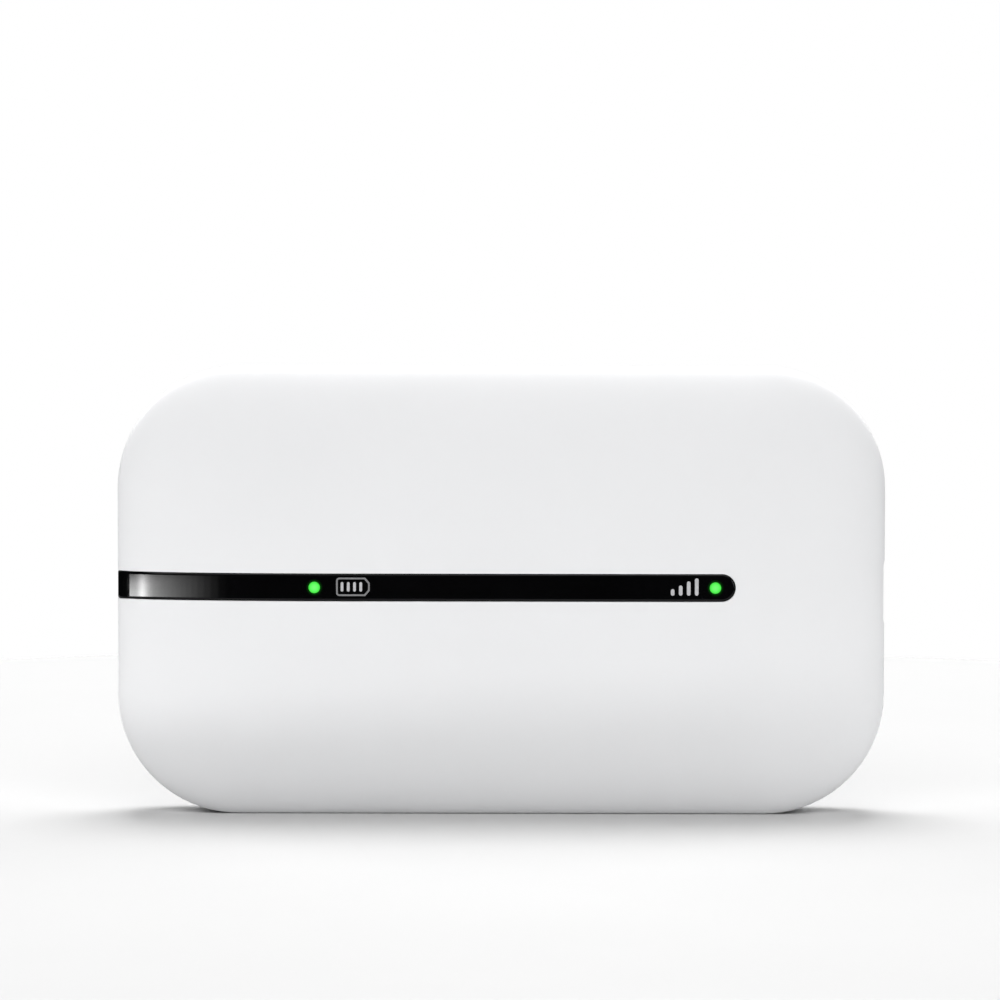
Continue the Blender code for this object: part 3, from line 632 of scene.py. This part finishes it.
def build_battery_icon():
    """A cell outline with a nub at its right end, and four bars inside it."""
    outer = cell_outline(CELL_LEFT, CELL_RIGHT, CELL_NUB, CELL_HALF, CELL_CORNER)
    inner = cell_outline(CELL_LEFT + CELL_LINE, CELL_RIGHT - CELL_LINE * 0.6, CELL_NUB - CELL_LINE,
                         CELL_HALF - CELL_LINE, CELL_INNER_CORNER)
    bm = bmesh.new()
    outer_bottom = print_ring(bm, outer, PRINT_BOTTOM)
    outer_top = print_ring(bm, outer, PRINT_TOP)
    inner_bottom = print_ring(bm, inner, PRINT_BOTTOM)
    inner_top = print_ring(bm, inner, PRINT_TOP)
    rings = (outer_bottom, outer_top, inner_top, inner_bottom, outer_bottom)
    for ring, following in zip(rings, rings[1:]):
        join_rings(bm, ring, following)
    add_piece("battery_icon_outline", bm, "body", MATERIALS["glowing_print_dim"])
    bars = []
    for index in range(4):
        x = CHARGE_START + CHARGE_STEP * index
        bars.append(rounded_bar(x, CELL_MIDDLE - CHARGE_HALF, CELL_MIDDLE + CHARGE_HALF, CHARGE_WIDTH))
    flat_print("battery_icon_bars", bars, MATERIALS["glowing_print_bright"])


def cell_outline(left, right, nub, half, radius, steps=6):
    """A cell seen from the side: round left corners, and right corners that slope into the nub."""
    nub_half = half * 0.42
    points = [
        (right, CELL_MIDDLE - half),
        (nub, CELL_MIDDLE - nub_half),
        (nub, CELL_MIDDLE + nub_half),
        (right, CELL_MIDDLE + half),
    ]
    for quarter, side in ((1, 1), (2, -1)):
        for step in range(steps + 1):
            angle = math.pi / 2 * (quarter + step / steps)
            x = left + radius + radius * math.cos(angle)
            points.append((x, CELL_MIDDLE + side * (half - radius) + radius * math.sin(angle)))
    return points


# ---------------------------------------------------------------- materials

SHELL_COLOURS = ((0.852, 0.856, 0.866), (0.868, 0.872, 0.882))
LENS_ROUGHNESS = (0.04, 0.055)
LENS_IOR = 1.28


def node_material(name):
    material = bpy.data.materials.new(name)
    material.use_nodes = True
    return material, material.node_tree, material.node_tree.nodes["Principled BSDF"]


def object_coordinates(tree):
    return tree.nodes.new("ShaderNodeTexCoord").outputs["Object"]


def noise(tree, scale, detail=4.0, roughness=0.55):
    node = tree.nodes.new("ShaderNodeTexNoise")
    node.inputs["Scale"].default_value = scale
    node.inputs["Detail"].default_value = detail
    node.inputs["Roughness"].default_value = roughness
    tree.links.new(object_coordinates(tree), node.inputs["Vector"])
    return node.outputs["Fac"]


def spread(tree, value, low, high):
    """Maps 0.3 to 0.7 of a value, where noise mostly lies, onto low to high."""
    node = tree.nodes.new("ShaderNodeMapRange")
    node.inputs["From Min"].default_value = 0.3
    node.inputs["From Max"].default_value = 0.7
    node.inputs["To Min"].default_value = low
    node.inputs["To Max"].default_value = high
    tree.links.new(value, node.inputs["Value"])
    return node.outputs["Result"]


def two_colours(tree, factor, first, second):
    node = tree.nodes.new("ShaderNodeMix")
    node.data_type = "RGBA"
    node.inputs["A"].default_value = (*first, 1.0)
    node.inputs["B"].default_value = (*second, 1.0)
    tree.links.new(factor, node.inputs["Factor"])
    return node.outputs["Result"]


def bump(tree, shader, height, distance, strength):
    node = tree.nodes.new("ShaderNodeBump")
    node.inputs["Strength"].default_value = strength
    node.inputs["Distance"].default_value = distance
    tree.links.new(height, node.inputs["Height"])
    tree.links.new(node.outputs["Normal"], shader.inputs["Normal"])


def moulded(name, first, second, roughness, metallic=0.0, specular=0.5):
    """A moulded or rolled surface: slow colour drift, fine grain in relief and uneven gloss."""
    material, tree, shader = node_material(name)
    drift = spread(tree, noise(tree, 45), 0.0, 1.0)
    tree.links.new(two_colours(tree, drift, first, second), shader.inputs["Base Color"])
    gloss = spread(tree, noise(tree, 225), *roughness)
    tree.links.new(gloss, shader.inputs["Roughness"])
    bump(tree, shader, noise(tree, 4200, 3.0), 0.004 * MM, 0.5)
    shader.inputs["Metallic"].default_value = metallic
    shader.inputs["Specular IOR Level"].default_value = specular
    return material


def lens_material(name, roughness):
    """Polished black: a trace of colour drift, and faint handling haze in its gloss."""
    material, tree, shader = node_material(name)
    drift = spread(tree, noise(tree, 120), 0.0, 1.0)
    black = two_colours(tree, drift, (0.0012, 0.0012, 0.0014), (0.0022, 0.0022, 0.0025))
    tree.links.new(black, shader.inputs["Base Color"])
    tree.links.new(spread(tree, noise(tree, 260), *roughness), shader.inputs["Roughness"])
    bump(tree, shader, noise(tree, 900, 2.0), 0.0006 * MM, 0.3)
    shader.inputs["IOR"].default_value = LENS_IOR
    return material


def radial(tree, x, reach):
    """1 at the light's centre, falling to 0 at its reach."""
    offset = tree.nodes.new("ShaderNodeVectorMath")
    offset.operation = "DISTANCE"
    offset.inputs[1].default_value = on_strip(distance_at(0, x), 0.0, 0.0)
    tree.links.new(object_coordinates(tree), offset.inputs[0])
    fade = tree.nodes.new("ShaderNodeMapRange")
    fade.interpolation_type = "SMOOTHSTEP"
    fade.inputs["From Min"].default_value = 0.0
    fade.inputs["From Max"].default_value = reach
    fade.inputs["To Min"].default_value = 1.0
    fade.inputs["To Max"].default_value = 0.0
    tree.links.new(offset.outputs["Value"], fade.inputs["Value"])
    return fade.outputs["Result"]


def light_material(name, x):
    """A lit green window: brightest and palest in the middle, deeper green at its edge."""
    material, tree, shader = node_material(name)
    near = radial(tree, x, LIGHT_RADIUS * 1.25)
    lit = two_colours(tree, near, (0.02, 0.50, 0.02), (0.17, 1.0, 0.17))
    tree.links.new(lit, shader.inputs["Emission Color"])
    shader.inputs["Emission Strength"].default_value = 1.0
    shader.inputs["Base Color"].default_value = (0.02, 0.25, 0.02, 1.0)
    shader.inputs["Roughness"].default_value = 0.2
    return material


def glow_material(name, x):
    """The black lens round a light, tinted by a halo that fades outwards."""
    material, tree, shader = node_material(name)
    near = radial(tree, x, GLOW_REACH)
    halo = two_colours(tree, near, (0.0, 0.0, 0.0), (0.01, 0.20, 0.01))
    tree.links.new(halo, shader.inputs["Emission Color"])
    shader.inputs["Emission Strength"].default_value = 1.0
    shader.inputs["Base Color"].default_value = (0.0015, 0.0015, 0.0018, 1.0)
    tree.links.new(spread(tree, noise(tree, 260), *LENS_ROUGHNESS), shader.inputs["Roughness"])
    shader.inputs["IOR"].default_value = LENS_IOR
    return material


def glowing_print_material(name, low, high):
    """Screen print behind a clear skin: slightly uneven ink, with a painted glow, as the ink's colour is
    also emitted.
    """
    material, tree, shader = node_material(name)
    ink = spread(tree, noise(tree, 2500), 0.0, 1.0)
    colours = two_colours(tree, ink, (low, low, low * 1.03), (high, high, high * 1.03))
    tree.links.new(colours, shader.inputs["Base Color"])
    # painted glow: the ink's colour is emitted as well, so the print shines though it is no lamp
    tree.links.new(colours, shader.inputs["Emission Color"])
    shader.inputs["Emission Strength"].default_value = 0.35
    shader.inputs["Roughness"].default_value = 0.35
    return material


def build_materials():
    return {
        "shell": moulded("white shell", SHELL_COLOURS[0], SHELL_COLOURS[1], (0.42, 0.50), specular=0.2),
        "lens": lens_material("strip lens", LENS_ROUGHNESS),
        "button": lens_material("strip button", (0.10, 0.16)),
        "glowing_print_bright": glowing_print_material("bright glowing print", 0.34, 0.42),
        "glowing_print_dim": glowing_print_material("dim glowing print", 0.13, 0.19),
    }


INNER_MATERIALS = {
    "chassis_grey": ("chassis", (0.085, 0.087, 0.092), (0.11, 0.112, 0.118), (0.48, 0.62)),
    "tinned_steel": ("tinned", (0.60, 0.60, 0.585), (0.70, 0.70, 0.69), (0.28, 0.42)),
    "stainless": ("stainless", (0.62, 0.62, 0.63), (0.72, 0.72, 0.73), (0.2, 0.32)),
    "gold_contact": ("gold", (0.90, 0.62, 0.26), (1.0, 0.74, 0.36), (0.18, 0.3)),
    "antenna_copper": ("copper foil", (0.80, 0.40, 0.24), (0.90, 0.50, 0.31), (0.26, 0.4)),
    "chip_black": ("epoxy", (0.018, 0.018, 0.02), (0.034, 0.034, 0.037), (0.42, 0.6)),
    "guide_clear": ("guide", (0.80, 0.83, 0.83), (0.88, 0.90, 0.90), (0.1, 0.2)),
    "foam_black": ("foam", (0.012, 0.012, 0.012), (0.03, 0.03, 0.03), (0.9, 1.0)),
    "pad_grey": ("pad", (0.40, 0.43, 0.47), (0.48, 0.51, 0.55), (0.7, 0.85)),
    "card_white": ("card", (0.76, 0.76, 0.74), (0.83, 0.83, 0.81), (0.3, 0.42)),
    "battery_grey": ("battery wrap", (0.24, 0.25, 0.27), (0.30, 0.31, 0.33), (0.3, 0.42)),
    "label_white": ("label", (0.76, 0.76, 0.74), (0.82, 0.82, 0.80), (0.55, 0.7)),
    "tantalum_yellow": ("tantalum", (0.70, 0.48, 0.09), (0.80, 0.56, 0.14), (0.35, 0.5)),
    "led_green": ("led", (0.10, 0.80, 0.10), (0.2, 0.95, 0.2), (0.2, 0.35)),
    "shell_white": ("inner white", *SHELL_COLOURS, (0.42, 0.50)),
    "strip_black": ("inner black", (0.004, 0.004, 0.005), (0.008, 0.008, 0.009), (0.1, 0.2)),
}
METALS = ("tinned_steel", "stainless", "gold_contact", "antenna_copper")


def board_material(name):
    """Green solder mask over copper: fine parallel tracks in colour and relief, and uneven gloss."""
    material, tree, shader = node_material(name)
    stretch = tree.nodes.new("ShaderNodeMapping")
    stretch.inputs["Scale"].default_value = (1.0, 1.0, 0.35)
    tree.links.new(object_coordinates(tree), stretch.inputs["Vector"])
    tracks = tree.nodes.new("ShaderNodeTexBrick")
    tracks.inputs["Scale"].default_value = 420.0
    tracks.inputs["Mortar Size"].default_value = 0.06
    tracks.inputs["Color1"].default_value = (0.012, 0.11, 0.045, 1.0)
    tracks.inputs["Color2"].default_value = (0.016, 0.14, 0.058, 1.0)
    tracks.inputs["Mortar"].default_value = (0.035, 0.21, 0.09, 1.0)
    swap = tree.nodes.new("ShaderNodeMapping")
    swap.inputs["Rotation"].default_value = (math.pi / 2, 0.0, 0.0)
    tree.links.new(stretch.outputs["Vector"], swap.inputs["Vector"])
    tree.links.new(swap.outputs["Vector"], tracks.inputs["Vector"])
    tree.links.new(tracks.outputs["Color"], shader.inputs["Base Color"])
    tree.links.new(spread(tree, noise(tree, 300), 0.3, 0.45), shader.inputs["Roughness"])
    bump(tree, shader, tracks.outputs["Fac"], 0.01 * MM, 0.6)
    return material


def finish_inner_parts():
    """Every part that is kept as the frame has it gets its slot's finish."""
    made = {"board_green": board_material("solder mask")}
    for slot, (name, first, second, roughness) in INNER_MATERIALS.items():
        made[slot] = moulded(name, first, second, roughness, metallic=1.0 if slot in METALS else 0.0)
    for row in frame["record"]["subparts"]:
        node = frame["nodes"][row["node"]]
        node.data.materials.clear()
        node.data.materials.append(made[row["material_slot"]])


# ---------------------------------------------------------------- stage, light and camera


def build_stage():
    """A pale round floor under the object."""
    bm = bmesh.new()
    bmesh.ops.create_circle(bm, cap_ends=True, segments=96, radius=FLOOR_RADIUS)
    mesh = bpy.data.meshes.new("floor")
    bm.to_mesh(mesh)
    bm.free()
    floor = bpy.data.objects.new("floor", mesh)
    floor.location = (0.0, 0.0, -FLOOR_DROP)
    bpy.context.scene.collection.objects.link(floor)
    material, tree, shader = node_material("floor paper")
    drift = spread(tree, noise(tree, 12), 0.0, 1.0)
    paper = two_colours(tree, drift, *FLOOR_COLOURS)
    tree.links.new(paper, shader.inputs["Base Color"])
    shader.inputs["Roughness"].default_value = 0.9
    mesh.materials.append(material)


def area_light(name, place, size, radiance):
    """A soft rectangular light that faces the middle of the object, equally bright at any size."""
    width, height = size
    data = bpy.data.lights.new(name, "AREA")
    data.shape = "RECTANGLE"
    data.size = width
    data.size_y = height
    data.energy = radiance * math.pi * width * height
    light = bpy.data.objects.new(name, data)
    light.location = place
    towards = Vector((0.0, 0.0, MID_Z)) - Vector(place)
    light.rotation_euler = towards.to_track_quat("-Z", "Y").to_euler()
    bpy.context.scene.collection.objects.link(light)


def around(azimuth, elevation, distance):
    """A place seen from the middle of the front, by azimuth and elevation in degrees."""
    turn = math.radians(azimuth)
    rise = math.radians(elevation)
    ahead = math.cos(rise)
    offset = Vector((-math.sin(turn) * ahead, -math.cos(turn) * ahead, math.sin(rise)))
    return offset * distance + Vector((0.0, FRONT_Y, MID_Z))


def card_radiance(azimuth):
    """Brightness across the soft box: it fades towards the front, and the lamp shows through."""
    share = min((azimuth - CARD_START) / (CARD_FULL - CARD_START), 1.0)
    cloth = CARD_RADIANCE * share ** 1.5
    lamp = LAMP_RADIANCE * math.exp(-((azimuth - LAMP_AZIMUTH) / LAMP_SPREAD) ** 2)
    return cloth + lamp


def build_soft_box():
    """Upright slices side by side on the left, which the strip's glossy end mirrors."""
    size = (CARD_DISTANCE * math.radians(CARD_STEP), CARD_HEIGHT)
    for step in range(CARD_COUNT):
        azimuth = CARD_START + CARD_STEP * (step + 0.5)
        place = around(azimuth, CARD_ELEVATION, CARD_DISTANCE)
        area_light(f"left_card_{step + 1}", place, size, card_radiance(azimuth))


def build_lighting():
    area_light("overhead_back", (0.0, 0.45, 0.9), PANEL, 4.0)
    area_light("overhead_mid", (0.0, 0.30, 1.0), PANEL, 8.2)
    area_light("overhead", (0.0, 0.16, 1.0), (0.5, 0.3), 4.6)
    area_light("front_high", around(0, 50, 1.1), (1.4, 0.5), 2.4)
    area_light("front", around(0, 32, 1.1), (1.4, 0.4), 2.1)
    area_light("behind_left", around(130, 30, 1.0), PANEL, 4.0)
    area_light("behind_right", around(-130, 30, 1.0), PANEL, 4.0)
    area_light("side_left", around(100, 30, 1.0), PANEL, 2.0)
    area_light("side_right", around(-100, 30, 1.0), PANEL, 2.0)
    area_light("tip_card", around(-30, 4, 0.6), (0.08, 0.14), 9.0)
    build_soft_box()


def build_surroundings():
    """White where the camera sees past the floor. It lights nothing."""
    world = bpy.data.worlds.new("studio")
    bpy.context.scene.world = world
    world.use_nodes = True
    tree = world.node_tree
    background = tree.nodes["Background"]
    background.inputs["Color"].default_value = (1.0, 1.0, 1.0, 1.0)
    seen = tree.nodes.new("ShaderNodeLightPath")
    tree.links.new(seen.outputs["Is Camera Ray"], background.inputs["Strength"])
    bpy.context.scene.view_settings.view_transform = "Standard"


def build_camera():
    """A long lens a little above the object, aimed over it."""
    data = bpy.data.cameras.new("camera")
    data.lens = LENS_MM
    camera = bpy.data.objects.new("camera", data)
    bpy.context.scene.collection.objects.link(camera)
    bpy.context.scene.camera = camera
    distance = FRAME_WIDTH * LENS_MM / data.sensor_width
    turn = Matrix.Rotation(math.radians(CAMERA_AZIMUTH), 3, "Z")
    elevation = math.radians(CAMERA_ELEVATION)
    back = turn @ Vector((0.0, -math.cos(elevation), math.sin(elevation)))
    up = turn @ Vector((0.0, math.sin(elevation), math.cos(elevation)))
    aim = Vector((AIM_ACROSS, FRONT_Y * 0.4, MID_Z)) + up * AIM_ABOVE
    camera.location = aim + back * distance
    facing = (-back).to_track_quat("-Z", "Y").to_matrix()
    camera.rotation_euler = (facing @ Matrix.Rotation(math.radians(CAMERA_ROLL), 3, "Z")).to_euler()
    data.clip_start = 0.01
    data.clip_end = 10.0


MATERIALS = build_materials()
finish_inner_parts()
build_front_shell()
build_rear_cover()
build_lens()
build_power_button()
build_lights()
build_signal_icon()
build_battery_icon()
build_stage()
build_lighting()
build_surroundings()
build_camera()
